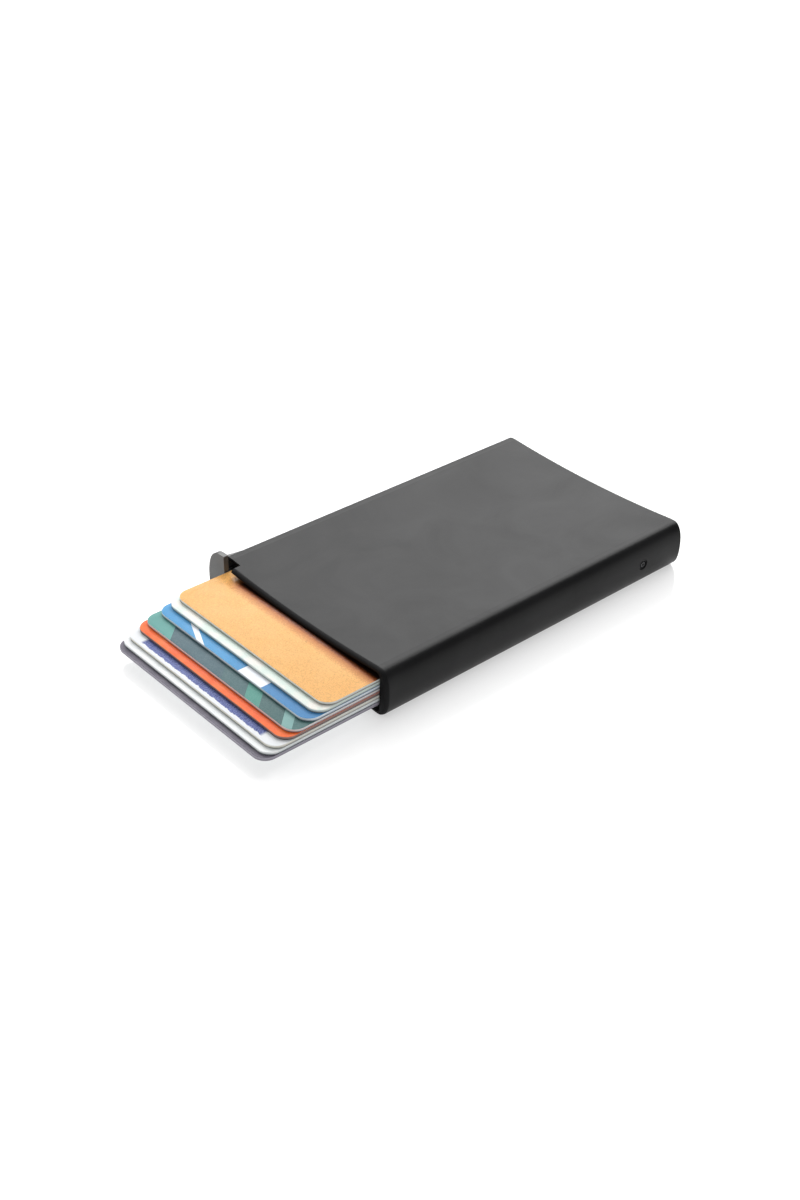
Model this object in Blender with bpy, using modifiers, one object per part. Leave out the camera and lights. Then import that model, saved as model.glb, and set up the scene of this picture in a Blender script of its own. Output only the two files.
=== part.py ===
"""Pop-up card holder: a dished aluminium sleeve, eight cards fanned out of its mouth,
and a bell-crank ejector worked by a push tab at the mouth's left end.

Metres, +Z up.  Design axes: X across the sleeve, Y from the mouth (0) to the far end, Z from
the sleeve's middle.  An empty moves them so that the model's origin is the middle of its
box's underside.  The pose modelled is the fanned one: the tab is in and the cards are out.
"""
from math import cos, pi, radians, sin, sqrt

import bmesh
import bpy
from mathutils import Matrix, Vector

# Bank card (ISO ID-1), and how the eight lie in the fan
CARD_LENGTH = 0.0856
CARD_WIDTH = 0.05398
CARD_THICKNESS = 0.00076
CARD_CORNER = 0.00318
CARD_PITCH = 0.000868
FAN_OUT = (0.01435, 0.01665, 0.01935, 0.02325, 0.02535, 0.02805, 0.02965, 0.03085)
CLOSED_OUT = 0.00665

# Sleeve
FACE_WALL = 0.0009
SIDE_WALL = 0.0021
DISH_DEPTH = 0.00108
SIDE_ROUND = 0.0029
SIDE_FULLNESS = 0.85
BORE_CORNER = 0.0012
LAND_WIDTH = 0.0010
RIM_LENGTH = 0.0012
RIM_DROP = 0.0006
CEILING_GAP = 0.00035
FLOOR_GAP = 0.00085
CARD_SIDE_GAP = 0.00037
NOTCH_DEPTH = 0.00265
NOTCH_REACH = 0.0069

# Push tab and its rail
RAIL_THICKNESS = 0.00102
RAIL_HEIGHT = 0.0060
RAIL_WALL_GAP = 0.0003
RAIL_END_WALL = 0.0016
GUIDE_WALL = 0.0005
GUIDE_CARD_GAP = 0.0003
TAB_THICKNESS = 0.0013
TAB_OUT = 0.0001
TAB_PROUD = 0.0019
TAB_FOOT_LIFT = 0.0003
RAMP_LENGTH = 0.01095
RAMP_RISE = 0.0046
RAMP_DROP = 0.0042
TAB_PIN_RADIUS = 0.0007
TAB_PIN_BACK = 0.00635

# Ejector lever
HUB_RADIUS = 0.0032
PIVOT_RADIUS = 0.0010
PIVOT_REACH = 0.00704
CAM_GAP = 0.00025
STEP_GAP = 0.00008
STEP_LAP = 0.00002
HUB_BOSS = 0.00005
ROOT_SPREAD = 0.0008
TIP_WIDTH = 0.0022
FINGER_RADIUS = 0.0005
FINGER_NECK = 0.0008
FINGER_HEIGHT = 0.0040

# Base insert, rivets and grip pads
INSERT_DEPTH = 0.0163
BLOCK_WIDTH = 0.00512
ROOF_REACH = 0.0073
CHEEK_GAP = 0.0003
RIVET_RADIUS = 0.00125
RIVET_SHANK = 0.0008
RIVET_REACH = 0.0030
RIVET_DOME = 0.0004
RIVET_RIGHT_BACK = 0.0136
RIVET_LEFT_BACK = 0.0036
PAD_LENGTH = 0.024
PAD_WIDTH = 0.006
PAD_SPACING = 0.018
PAD_INSET = 0.0068

# Clearances shared by every fit
SEAT_GAP = 0.0003
PIN_GAP = 0.0001
CUT_OVER = 0.002

# Facets
DISH_STEPS = 14
SIDE_STEPS = 9
RIM_STEPS = 3
CORNER_STEPS = 6
ROUND_STEPS = 24
CAM_STEPS = 8
MERGE = 1e-6

# What follows from those sizes
CARDS = len(FAN_OUT)
STACK_HEIGHT = (CARDS - 1) * CARD_PITCH + CARD_THICKNESS
BORE_MIDDLE_HEIGHT = STACK_HEIGHT + CEILING_GAP + FLOOR_GAP
CASE_HEIGHT = BORE_MIDDLE_HEIGHT + 2 * (FACE_WALL + DISH_DEPTH)
RAIL_CARD_GAP = GUIDE_CARD_GAP + GUIDE_WALL + SEAT_GAP
RAIL_CHANNEL = RAIL_CARD_GAP + RAIL_THICKNESS + RAIL_WALL_GAP
CASE_WIDTH = 2 * SIDE_WALL + CARD_SIDE_GAP + CARD_WIDTH + RAIL_CHANNEL
INSERT_FRONT = CARD_LENGTH - CLOSED_OUT + SEAT_GAP
CASE_LENGTH = INSERT_FRONT + INSERT_DEPTH
HALF_WIDTH = CASE_WIDTH / 2
HALF_HEIGHT = CASE_HEIGHT / 2
DISH_HALF_WIDTH = HALF_WIDTH - SIDE_ROUND - LAND_WIDTH
BORE_HALF_WIDTH = HALF_WIDTH - SIDE_WALL
BORE_HALF_HEIGHT = HALF_HEIGHT - FACE_WALL
CARD_X = BORE_HALF_WIDTH - CARD_SIDE_GAP - CARD_WIDTH / 2
CARD_LEFT = CARD_X - CARD_WIDTH / 2
STACK_TOP = BORE_MIDDLE_HEIGHT / 2 - CEILING_GAP
STACK_BOTTOM = STACK_TOP - STACK_HEIGHT
NOTCH_X = NOTCH_REACH - HALF_WIDTH
RAIL_RIGHT = CARD_LEFT - RAIL_CARD_GAP
RAIL_LEFT = RAIL_RIGHT - RAIL_THICKNESS
RAIL_X = (RAIL_LEFT + RAIL_RIGHT) / 2
RAIL_FRONT = TAB_THICKNESS - TAB_OUT + SEAT_GAP
CARD_BACK_CLOSED = CARD_LENGTH - CLOSED_OUT
PIVOT_X = RAIL_X + PIVOT_REACH
POCKET_RIGHT = BORE_HALF_WIDTH - BLOCK_WIDTH
LEVER_REACH = POCKET_RIGHT - 2 * CHEEK_GAP - PIVOT_X
LONGEST_TRAVEL = max(FAN_OUT) - CLOSED_OUT
LONGEST_CAM = sqrt(LEVER_REACH ** 2 - (HUB_RADIUS + LONGEST_TRAVEL) ** 2)
SWING = LONGEST_TRAVEL / LONGEST_CAM
FINGER_ARM = 2 * PIVOT_REACH / (1 + cos(SWING / 2))
PIVOT_Y = CARD_BACK_CLOSED + CAM_GAP + HUB_RADIUS
FINGER_Y = PIVOT_Y + FINGER_ARM * sin(SWING / 2)
WINDOW_HALF = FINGER_RADIUS + 2 * PIN_GAP
RAIL_END = FINGER_Y + WINDOW_HALF + RAIL_END_WALL
LEVER_TOP = STACK_TOP - STEP_GAP
LEVER_BOTTOM = STACK_BOTTOM + STEP_GAP
FRAME_SHIFT = Vector((TAB_PROUD / 2, (FAN_OUT[-1] - CASE_LENGTH) / 2, HALF_HEIGHT))


def travel(card):
    """How far a card slides from closed to the fan."""
    return FAN_OUT[card] - CLOSED_OUT


def cam_radius(card):
    """Base circle of the cam that drives a card evenly with the lever's angle."""
    return travel(card) / SWING


# ---------------------------------------------------------------- scene and helpers

for leftover in list(bpy.data.objects):
    bpy.data.objects.remove(leftover, do_unlink=True)

parts = bpy.data.collections.new("card_holder")
cutters = bpy.data.collections.new("cutters")
bpy.context.scene.collection.children.link(parts)
bpy.context.scene.collection.children.link(cutters)

frame = bpy.data.objects.new("frame", None)
frame.location = FRAME_SHIFT
parts.objects.link(frame)


def settle(obj, name, collection=parts, parent=frame):
    """Name an object, put it in one collection and hang it on its parent."""
    obj.name = name
    for old in list(obj.users_collection):
        old.objects.unlink(obj)
    collection.objects.link(obj)
    obj.parent = parent
    if collection is cutters:
        obj.hide_render = True
        obj.display_type = "WIRE"
    return obj


def paint(obj, name, colour, roughness, metallic):
    """Give an object its Principled material, shared by name."""
    mat = bpy.data.materials.get(name)
    if mat is None:
        mat = bpy.data.materials.new(name)
        mat.use_nodes = True
        shader = mat.node_tree.nodes["Principled BSDF"]
        shader.inputs["Base Color"].default_value = (*colour, 1)
        shader.inputs["Roughness"].default_value = roughness
        shader.inputs["Metallic"].default_value = metallic
    obj.data.materials.clear()
    obj.data.materials.append(mat)


def box(name, low, high, collection=parts):
    """A box between two corners."""
    low, high = Vector(low), Vector(high)
    bpy.ops.mesh.primitive_cube_add(size=1, location=(low + high) / 2)
    obj = bpy.context.object
    obj.scale = high - low
    bpy.ops.object.transform_apply(location=False, rotation=False, scale=True)
    return settle(obj, name, collection)


def rod(name, radius, start, end, collection=parts):
    """A cylinder between two points."""
    start, end = Vector(start), Vector(end)
    bpy.ops.mesh.primitive_cylinder_add(
        vertices=ROUND_STEPS, radius=radius, depth=(end - start).length)
    obj = bpy.context.object
    obj.location = (start + end) / 2
    obj.rotation_euler = (end - start).to_track_quat("Z", "Y").to_euler()
    return settle(obj, name, collection)


def plate(name, loops, thickness, matrix, collection=parts):
    """A flat outline, or an outline with holes, drawn in its own XY and extruded evenly."""
    curve = bpy.data.curves.new(name + "_outline", "CURVE")
    curve.dimensions = "2D"
    curve.fill_mode = "BOTH"
    curve.extrude = thickness / 2
    for loop in loops:
        spline = curve.splines.new("POLY")
        spline.points.add(len(loop) - 1)
        for point, (x, y) in zip(spline.points, loop):
            point.co = (x, y, 0, 1)
        spline.use_cyclic_u = True
    outline = bpy.data.objects.new(name + "_outline", curve)
    outline.matrix_basis = matrix
    settle(outline, name + "_outline", collection)
    bpy.context.view_layer.update()
    depsgraph = bpy.context.evaluated_depsgraph_get()
    mesh = bpy.data.meshes.new_from_object(outline.evaluated_get(depsgraph))
    weld(mesh)
    obj = settle(bpy.data.objects.new(name, mesh), name, collection)
    obj.matrix_basis = matrix
    bpy.data.objects.remove(outline, do_unlink=True)
    return obj


def weld(mesh):
    """Join coincident points."""
    work = bmesh.new()
    work.from_mesh(mesh)
    bmesh.ops.remove_doubles(work, verts=work.verts, dist=MERGE)
    bmesh.ops.recalc_face_normals(work, faces=work.faces)
    work.to_mesh(mesh)
    work.free()


def loft(name, rings, collection=parts):
    """A closed solid through rings of equal point counts."""
    work = bmesh.new()
    rows = [[work.verts.new(point) for point in ring] for ring in rings]
    for near, far in zip(rows, rows[1:]):
        for i in range(len(near)):
            j = (i + 1) % len(near)
            work.faces.new((near[i], near[j], far[j], far[i]))
    work.faces.new(list(reversed(rows[0])))
    work.faces.new(rows[-1])
    bmesh.ops.recalc_face_normals(work, faces=work.faces)
    mesh = bpy.data.meshes.new(name)
    work.to_mesh(mesh)
    work.free()
    return settle(bpy.data.objects.new(name, mesh), name, collection)


def combine(obj, other, operation="DIFFERENCE"):
    """Cut, join or trim an object with a cutter."""
    modifier = obj.modifiers.new(other.name, "BOOLEAN")
    modifier.operation = operation
    modifier.solver = "EXACT"
    modifier.object = other


def smooth(obj, angle=radians(30)):
    """Shade the rounds smooth and keep real edges sharp."""
    obj.data.shade_smooth()
    obj.data.set_sharp_from_angle(angle=angle)


def across(y):
    """Place an outline drawn in X and Z at a distance along the sleeve."""
    return Matrix.Translation((0, y, 0)) @ Matrix.Rotation(pi / 2, 4, "X")


def flat(x, y, z):
    """Place an outline drawn in X and Y."""
    return Matrix.Translation((x, y, z))


# ---------------------------------------------------------------- the sleeve's section

def face_height(x, half_height):
    """Height of a dished face above the middle plane."""
    if abs(x) >= DISH_HALF_WIDTH:
        return half_height
    return half_height - DISH_DEPTH * (1 - (x / DISH_HALF_WIDTH) ** 2)


def rounded_corner(half_width, half_height, round_x, round_z, power, steps):
    """The quarter from a face's end round to the side."""
    points = []
    for step in range(1, steps + 1):
        angle = pi / 2 * step / steps
        x = half_width - round_x + round_x * sin(angle) ** power
        z = half_height - round_z + round_z * max(cos(angle), 0) ** power
        points.append((x, z))
    return points


def section(half_width, half_height, round_x, round_z, power=1.0):
    """Closed outline with two dished faces and rounded sides."""
    reach = half_width - round_x
    stops = [DISH_HALF_WIDTH * (2 * i / DISH_STEPS - 1) for i in range(DISH_STEPS + 1)]
    face = [(-reach, half_height)]
    face += [(x, face_height(x, half_height)) for x in stops]
    face.append((reach, half_height))
    corner = rounded_corner(half_width, half_height, round_x, round_z, power, SIDE_STEPS)
    right = corner + [(x, -z) for x, z in reversed(corner)]
    if abs(corner[-1][1]) < MERGE:
        del right[SIDE_STEPS]
    upper = face + right
    return upper + [(-x, -z) for x, z in upper]


def outer_ring(y, inset):
    """The sleeve's outside at a distance from the mouth, drawn in evenly by inset."""
    half_height = HALF_HEIGHT - inset
    return [(x, y, z) for x, z in section(HALF_WIDTH - inset, half_height,
                                          SIDE_ROUND - inset, half_height, SIDE_FULLNESS)]


def bore_section(gap=0.0):
    """The bore's outline, or that of a plug which fits it with a gap all round."""
    return section(BORE_HALF_WIDTH - gap, BORE_HALF_HEIGHT - gap,
                   BORE_CORNER - gap, BORE_CORNER - gap)


# ---------------------------------------------------------------- fixed pieces

def make_case():
    """The sleeve: round-rimmed, bored, notched and slotted for the tab, drilled for rivets."""
    turns = [pi / 2 * step / RIM_STEPS for step in range(RIM_STEPS + 1)]
    rings = [outer_ring(RIM_LENGTH * (1 - cos(turn)), RIM_DROP * (1 - sin(turn)))
             for turn in turns]
    case = loft("case_shell", rings + [outer_ring(CASE_LENGTH, 0)])
    combine(case, plate("bore_cutter", [bore_section()], CASE_LENGTH + 2 * CUT_OVER,
                        across(CASE_LENGTH / 2), cutters))
    combine(case, box("notch_cutter",
                      (-HALF_WIDTH - CUT_OVER, -CUT_OVER, -HALF_HEIGHT - CUT_OVER),
                      (NOTCH_X, NOTCH_DEPTH, HALF_HEIGHT + CUT_OVER), cutters))
    slot_end = RAMP_LENGTH + NOTCH_DEPTH - TAB_THICKNESS + TAB_OUT
    combine(case, box("ramp_slot_cutter",
                      (-HALF_WIDTH - CUT_OVER, 0, -RAMP_DROP - SEAT_GAP),
                      (RAIL_LEFT, slot_end, RAMP_RISE + SEAT_GAP), cutters))
    for side, back in ((1, RIVET_RIGHT_BACK), (-1, RIVET_LEFT_BACK)):
        y = CASE_LENGTH - back
        combine(case, rod(f"case_rivet_cutter_{side}", RIVET_RADIUS + PIN_GAP,
                          (side * (BORE_HALF_WIDTH - CUT_OVER), y, 0),
                          (side * (HALF_WIDTH + CUT_OVER), y, 0), cutters))
    smooth(case)
    paint(case, "black_anodised", (0.035, 0.035, 0.037), 0.42, 0.9)


def make_insert():
    """The moulded plug in the far end, with a pocket for the lever and a way for the rail."""
    depth = INSERT_DEPTH
    insert = plate("base_insert", [bore_section(PIN_GAP)], depth,
                   across(INSERT_FRONT + depth / 2))
    front = INSERT_FRONT - CUT_OVER
    pocket_back = max(PIVOT_Y + HUB_RADIUS + 2 * CHEEK_GAP,
                      FINGER_Y + FINGER_RADIUS + CHEEK_GAP)
    pocket_floor = LEVER_BOTTOM - CHEEK_GAP
    roof_edge = PIVOT_X + ROOF_REACH
    combine(insert, box("hub_pocket_cutter", (RAIL_RIGHT, front, pocket_floor),
                        (roof_edge + CUT_OVER, pocket_back, LEVER_TOP + CHEEK_GAP), cutters))
    combine(insert, box("arm_pocket_cutter", (roof_edge, front, pocket_floor),
                        (POCKET_RIGHT, pocket_back, HALF_HEIGHT), cutters))
    rail_half = RAIL_HEIGHT / 2 + SEAT_GAP
    combine(insert, box("rail_way_cutter", (-HALF_WIDTH, front, -rail_half),
                        (RAIL_RIGHT + SEAT_GAP, RAIL_END + SEAT_GAP, rail_half), cutters))
    combine(insert, rod("pivot_cutter", PIVOT_RADIUS + PIN_GAP,
                        (PIVOT_X, PIVOT_Y, -HALF_HEIGHT), (PIVOT_X, PIVOT_Y, HALF_HEIGHT),
                        cutters))
    for side, back in ((1, RIVET_RIGHT_BACK), (-1, RIVET_LEFT_BACK)):
        y = CASE_LENGTH - back
        deep = BORE_HALF_WIDTH - RIVET_REACH - SEAT_GAP
        combine(insert, rod(f"insert_rivet_cutter_{side}", RIVET_SHANK + PIN_GAP,
                            (side * deep, y, 0), (side * HALF_WIDTH, y, 0), cutters))
    paint(insert, "black_plastic", (0.022, 0.022, 0.024), 0.55, 0.0)


def make_pivot_pin():
    """The steel pin that the lever turns on."""
    half = BORE_HALF_HEIGHT - 2 * SEAT_GAP
    pin = rod("pivot_pin", PIVOT_RADIUS, (PIVOT_X, PIVOT_Y, -half), (PIVOT_X, PIVOT_Y, half))
    smooth(pin)
    paint(pin, "steel", (0.55, 0.55, 0.57), 0.3, 1.0)


def make_rivet(name, side, back):
    """A flush-headed rivet: the head fills the wall and the shank enters the insert."""
    head_start = BORE_HALF_WIDTH + PIN_GAP
    top = HALF_WIDTH - PIN_GAP
    profile = [(0, top), (RIVET_RADIUS - RIVET_DOME, top),
               (RIVET_RADIUS, top - RIVET_DOME / 2),
               (RIVET_RADIUS, head_start), (RIVET_SHANK, head_start),
               (RIVET_SHANK, BORE_HALF_WIDTH - RIVET_REACH),
               (0, BORE_HALF_WIDTH - RIVET_REACH)]
    mesh = bpy.data.meshes.new(name)
    mesh.from_pydata([(r, 0, h) for r, h in profile],
                     [(i, i + 1) for i in range(len(profile) - 1)], [])
    rivet = settle(bpy.data.objects.new(name, mesh), name)
    screw = rivet.modifiers.new("turn", "SCREW")
    screw.steps = screw.render_steps = ROUND_STEPS
    screw.use_merge_vertices = True
    screw.merge_threshold = MERGE
    rivet.location = (0, CASE_LENGTH - back, 0)
    rivet.rotation_euler = (0, side * pi / 2, 0)
    smooth(rivet)
    paint(rivet, "dark_steel", (0.09, 0.09, 0.095), 0.35, 1.0)


def make_pads():
    """Two strips on the sleeve's floor that hold the cards by friction."""
    for name, side in (("grip_pad_left", -1), ("grip_pad_right", 1)):
        x = CARD_X + side * PAD_SPACING / 2
        bottom = -face_height(abs(x) - PAD_WIDTH / 2, BORE_HALF_HEIGHT) + PIN_GAP
        pad = box(name, (x - PAD_WIDTH / 2, PAD_INSET, bottom),
                  (x + PAD_WIDTH / 2, PAD_INSET + PAD_LENGTH, STACK_BOTTOM - PIN_GAP))
        paint(pad, "felt", (0.05, 0.05, 0.055), 0.95, 0.0)


# ---------------------------------------------------------------- tab and rail

def tab_outline():
    """Plate outline: the sleeve's left end, proud of it all round except at the foot."""
    reach = HALF_WIDTH - SIDE_ROUND
    round_x = SIDE_ROUND + TAB_PROUD
    wide = HALF_WIDTH + TAB_PROUD
    top = HALF_HEIGHT + TAB_PROUD
    foot = HALF_HEIGHT - TAB_FOOT_LIFT
    inner = CARD_LEFT - SEAT_GAP
    upper = rounded_corner(wide, top, round_x, top, SIDE_FULLNESS, SIDE_STEPS)
    lower = rounded_corner(wide, foot, round_x, foot, SIDE_FULLNESS, SIDE_STEPS)
    left = [(-x, z) for x, z in upper]
    left += [(-x, -z) for x, z in reversed(lower[:-1])]
    return [(inner, top), (-reach, top)] + left + [(-reach, -foot), (inner, -foot)]


def ramp_ring(y, proud):
    """Section of the thumb ramp: outside it follows the sleeve's side, inside it is flat."""
    inner = -BORE_HALF_WIDTH
    ring = [(inner, y, -RAMP_DROP)]
    for step in range(SIDE_STEPS + 1):
        z = -RAMP_DROP + (RAMP_RISE + RAMP_DROP) * step / SIDE_STEPS
        share = (1 - (abs(z) / HALF_HEIGHT) ** (2 / SIDE_FULLNESS)) ** (SIDE_FULLNESS / 2)
        ring.append((-(HALF_WIDTH - SIDE_ROUND + SIDE_ROUND * share + proud), y, z))
    ring.append((inner, y, RAMP_RISE))
    return ring


def make_tab():
    """The push tab: a D-shaped plate with a ramp that sinks into the sleeve's left side."""
    middle = TAB_THICKNESS / 2 - TAB_OUT
    tab = plate("thumb_tab", [tab_outline()], TAB_THICKNESS, across(middle))
    back = TAB_THICKNESS - TAB_OUT
    ramp = loft("ramp_joiner", [ramp_ring(middle, TAB_PROUD - PIN_GAP),
                                ramp_ring(back, TAB_PROUD - PIN_GAP),
                                ramp_ring(RAMP_LENGTH, 0.0)], cutters)
    combine(tab, ramp, "UNION")
    combine(tab, rod("tab_pin_cutter", TAB_PIN_RADIUS + PIN_GAP,
                     (-HALF_WIDTH + 2 * SEAT_GAP, TAB_PIN_BACK, 0),
                     (RAIL_LEFT, TAB_PIN_BACK, 0), cutters))
    smooth(tab)
    paint(tab, "grey_anodised", (0.12, 0.12, 0.125), 0.38, 0.9)


def make_rail():
    """The flat rail from the tab to the lever, with a window for the lever's finger."""
    rail = box("slider_rail", (RAIL_LEFT, RAIL_FRONT, -RAIL_HEIGHT / 2),
               (RAIL_RIGHT, RAIL_END, RAIL_HEIGHT / 2))
    tall = FINGER_HEIGHT / 2 + SEAT_GAP
    combine(rail, box("window_cutter",
                      (RAIL_LEFT - CUT_OVER, FINGER_Y - WINDOW_HALF, -tall),
                      (RAIL_RIGHT + CUT_OVER, FINGER_Y + WINDOW_HALF, tall), cutters))
    combine(rail, rod("rail_pin_cutter", TAB_PIN_RADIUS + PIN_GAP,
                      (RAIL_LEFT - CUT_OVER, TAB_PIN_BACK, 0),
                      (RAIL_RIGHT + CUT_OVER, TAB_PIN_BACK, 0), cutters))
    paint(rail, "steel", (0.55, 0.55, 0.57), 0.3, 1.0)


def make_guide():
    """The channel that holds the rail level and keeps the cards off it."""
    start = RAMP_LENGTH + NOTCH_DEPTH + SEAT_GAP
    end = INSERT_FRONT - SEAT_GAP
    right = CARD_LEFT - GUIDE_CARD_GAP
    tall = RAIL_HEIGHT / 2 + SEAT_GAP
    guide = box("rail_guide", (RAIL_LEFT, start, -tall - GUIDE_WALL),
                (right, end, tall + GUIDE_WALL))
    combine(guide, box("guide_cutter", (RAIL_LEFT - CUT_OVER, start - CUT_OVER, -tall),
                       (right - GUIDE_WALL, end + CUT_OVER, tall), cutters))
    paint(guide, "black_plastic", (0.022, 0.022, 0.024), 0.55, 0.0)


def make_tab_pin():
    """The pin that fastens the tab's ramp to the rail."""
    pin = rod("tab_pin", TAB_PIN_RADIUS,
              (-HALF_WIDTH + 3 * SEAT_GAP, TAB_PIN_BACK, 0),
              (RAIL_RIGHT - PIN_GAP, TAB_PIN_BACK, 0))
    smooth(pin)
    paint(pin, "steel", (0.55, 0.55, 0.57), 0.3, 1.0)


# ---------------------------------------------------------------- ejector lever

def turned(point, angle):
    """Turn a point (right, forward) from right towards forward."""
    right, forward = point
    return (right * cos(angle) - forward * sin(angle),
            right * sin(angle) + forward * cos(angle))


def cam_point(card, angle):
    """The point of the fanned lever that touches a card when the lever has turned by angle."""
    radius = cam_radius(card)
    return turned((radius, HUB_RADIUS + radius * angle), SWING - angle)


def step_outline(card):
    """One step of the lever: its involute nose drives the card evenly as the lever turns.

    The roots lie at slightly different places inside the hub, so no two steps share an edge.
    """
    nose = [cam_point(card, SWING * i / CAM_STEPS) for i in range(CAM_STEPS + 1)]
    tip = (nose[-1][0], nose[-1][1] - TIP_WIDTH)
    root = ROOT_SPREAD * card / CARDS
    root_front = turned((root, HUB_RADIUS / 2), SWING)
    root_back = turned((root, -HUB_RADIUS / 2), SWING)
    return [root_back, tip] + nose[::-1] + [root_front]


def make_lever():
    """Eight steps on one hub, longest at the bottom, and a finger that the rail pushes."""
    place = Vector((PIVOT_X, PIVOT_Y, 0))
    hub_bottom = LEVER_BOTTOM - HUB_BOSS
    hub_top = LEVER_TOP + HUB_BOSS
    lever = rod("eject_lever", HUB_RADIUS, place + Vector((0, 0, hub_bottom)),
                place + Vector((0, 0, hub_top)))
    lever.data.transform(Matrix.Translation((0, 0, lever.location.z)))
    lever.location.z = 0
    for card in range(CARDS):
        top = LEVER_TOP - card * CARD_PITCH
        bottom = max(top - CARD_PITCH - STEP_LAP, LEVER_BOTTOM)
        loop = [(x, -forward) for x, forward in step_outline(card)]
        step = plate(f"lever_step_{card + 1}", [loop], top - bottom,
                     flat(PIVOT_X, PIVOT_Y, (top + bottom) / 2), cutters)
        combine(lever, step, "UNION")
    combine(lever, finger(), "UNION")
    combine(lever, rod("hub_bore_cutter", PIVOT_RADIUS + PIN_GAP,
                       place - Vector((0, 0, HALF_HEIGHT)), place + Vector((0, 0, HALF_HEIGHT)),
                       cutters))
    smooth(lever)
    paint(lever, "grey_acetal", (0.25, 0.25, 0.26), 0.45, 0.0)


def finger():
    """The lever's short arm, with a round end that sits in the rail's window."""
    neck = FINGER_NECK / 2
    rise = sqrt(FINGER_RADIUS ** 2 - neck ** 2)
    end = []
    for i in range(ROUND_STEPS // 2 + 1):
        angle = pi / 2 + pi * i / (ROUND_STEPS // 2)
        end.append((-FINGER_ARM + FINGER_RADIUS * cos(angle), FINGER_RADIUS * sin(angle)))
    loop = [(0, neck), (-FINGER_ARM + rise, neck)] + end
    loop += [(-FINGER_ARM + rise, -neck), (0, -neck)]
    place = flat(PIVOT_X, PIVOT_Y, 0) @ Matrix.Rotation(-SWING / 2, 4, "Z")
    return plate("finger_joiner", [loop], FINGER_HEIGHT, place, cutters)


# ---------------------------------------------------------------- cards

def card_outline():
    """Rounded rectangle of an ID-1 card."""
    points = []
    for quarter in range(4):
        sx = 1 if quarter in (0, 3) else -1
        sy = 1 if quarter in (0, 1) else -1
        cx = sx * (CARD_WIDTH / 2 - CARD_CORNER)
        cy = sy * (CARD_LENGTH / 2 - CARD_CORNER)
        for step in range(CORNER_STEPS + 1):
            angle = pi / 2 * (quarter + step / CORNER_STEPS)
            points.append((cx + CARD_CORNER * cos(angle), cy + CARD_CORNER * sin(angle)))
    return points


CARD_COLOURS = {
    "card_orange": (0.93, 0.58, 0.22),
    "card_pale": (0.72, 0.76, 0.70),
    "card_blue": (0.14, 0.38, 0.66),
    "card_teal": (0.25, 0.50, 0.46),
    "card_coral": (0.90, 0.32, 0.13),
    "card_violet": (0.40, 0.44, 0.62),
    "card_white": (0.80, 0.84, 0.84),
    "card_lilac": (0.27, 0.25, 0.30),
}


def make_cards():
    """Card 1 lies on top and stands out least, card 8 is lowest and stands out most."""
    for card, (slot, colour) in enumerate(CARD_COLOURS.items()):
        y = CARD_LENGTH / 2 - FAN_OUT[card]
        z = STACK_TOP - CARD_THICKNESS / 2 - card * CARD_PITCH
        obj = plate(f"card_{card + 1}", [card_outline()], CARD_THICKNESS,
                    flat(CARD_X, y, z))
        smooth(obj)
        paint(obj, slot, colour, 0.35, 0.0)


make_case()
make_insert()
make_pivot_pin()
make_rivet("rivet_right", 1, RIVET_RIGHT_BACK)
make_rivet("rivet_left", -1, RIVET_LEFT_BACK)
make_pads()
make_tab()
make_rail()
make_guide()
make_tab_pin()
make_lever()
make_cards()
bpy.context.view_layer.update()
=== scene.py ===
"""Looks for the pop-up card holder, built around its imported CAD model.

Metres, +Z up.  Pieces are drawn in the sleeve's own axes: X across from its centre line,
Y from the mouth (0) towards the far end, Z from mid height.  ORIGIN is where that lies.
"""

from math import cos, pi, radians, sin

import bmesh
import bpy
from mathutils import Matrix, Vector, noise


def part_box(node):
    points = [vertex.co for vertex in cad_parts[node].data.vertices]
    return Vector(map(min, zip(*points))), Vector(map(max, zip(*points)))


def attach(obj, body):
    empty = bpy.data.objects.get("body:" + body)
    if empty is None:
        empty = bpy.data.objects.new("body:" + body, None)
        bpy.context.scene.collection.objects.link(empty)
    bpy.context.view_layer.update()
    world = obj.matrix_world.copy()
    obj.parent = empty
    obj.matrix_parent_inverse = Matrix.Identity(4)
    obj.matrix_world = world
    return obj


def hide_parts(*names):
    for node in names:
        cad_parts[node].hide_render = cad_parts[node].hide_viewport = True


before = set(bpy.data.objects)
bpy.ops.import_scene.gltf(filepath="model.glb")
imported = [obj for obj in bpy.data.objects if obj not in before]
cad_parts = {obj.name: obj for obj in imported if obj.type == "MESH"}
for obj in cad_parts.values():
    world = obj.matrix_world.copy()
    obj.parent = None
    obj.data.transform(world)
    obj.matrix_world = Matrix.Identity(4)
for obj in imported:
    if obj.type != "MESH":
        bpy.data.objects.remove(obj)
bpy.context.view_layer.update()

# Camera and light
CAMERA_TARGET = Vector((-0.00136, 0.0009, 0.0))
CAMERA_DISTANCE = 0.3752
CAMERA_AZIMUTH = radians(47.60)
CAMERA_ELEVATION = radians(33.62)
CAMERA_ROLL = radians(1.33)
CAMERA_LENS = 47.46
CAMERA_SENSOR = 36.0
WORLD_LIGHT = 0.26
FLOOR_SIZE = 12.0
FLOOR_DROP = 0.0001
SOFT_BOXES = (("key", (-0.58, 0.78, 0.90), 1.7, 1.2, 27.5),
              ("top", (0.1, 0.1, 1.3), 1.4, 1.4, 7.0),
              ("fill", (-0.7, -0.9, 0.5), 0.8, 0.8, 2.5))

# Sleeve
FACE_WALL = 0.0009
SIDE_WALL = 0.0021
DISH_DEPTH = 0.00108
SIDE_ROUND = 0.0029
SIDE_FULLNESS = 0.85
BORE_CORNER = 0.0012
LAND_WIDTH = 0.0010
NOTCH_DEPTH = 0.00265
NOTCH_REACH = 0.0069
RIM_LENGTH = 0.0012
RIM_DROP = 0.0006
RIM_EASE = 0.00012
RIM_DYED = 0.0010
CUT_OVER = 0.002

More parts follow.
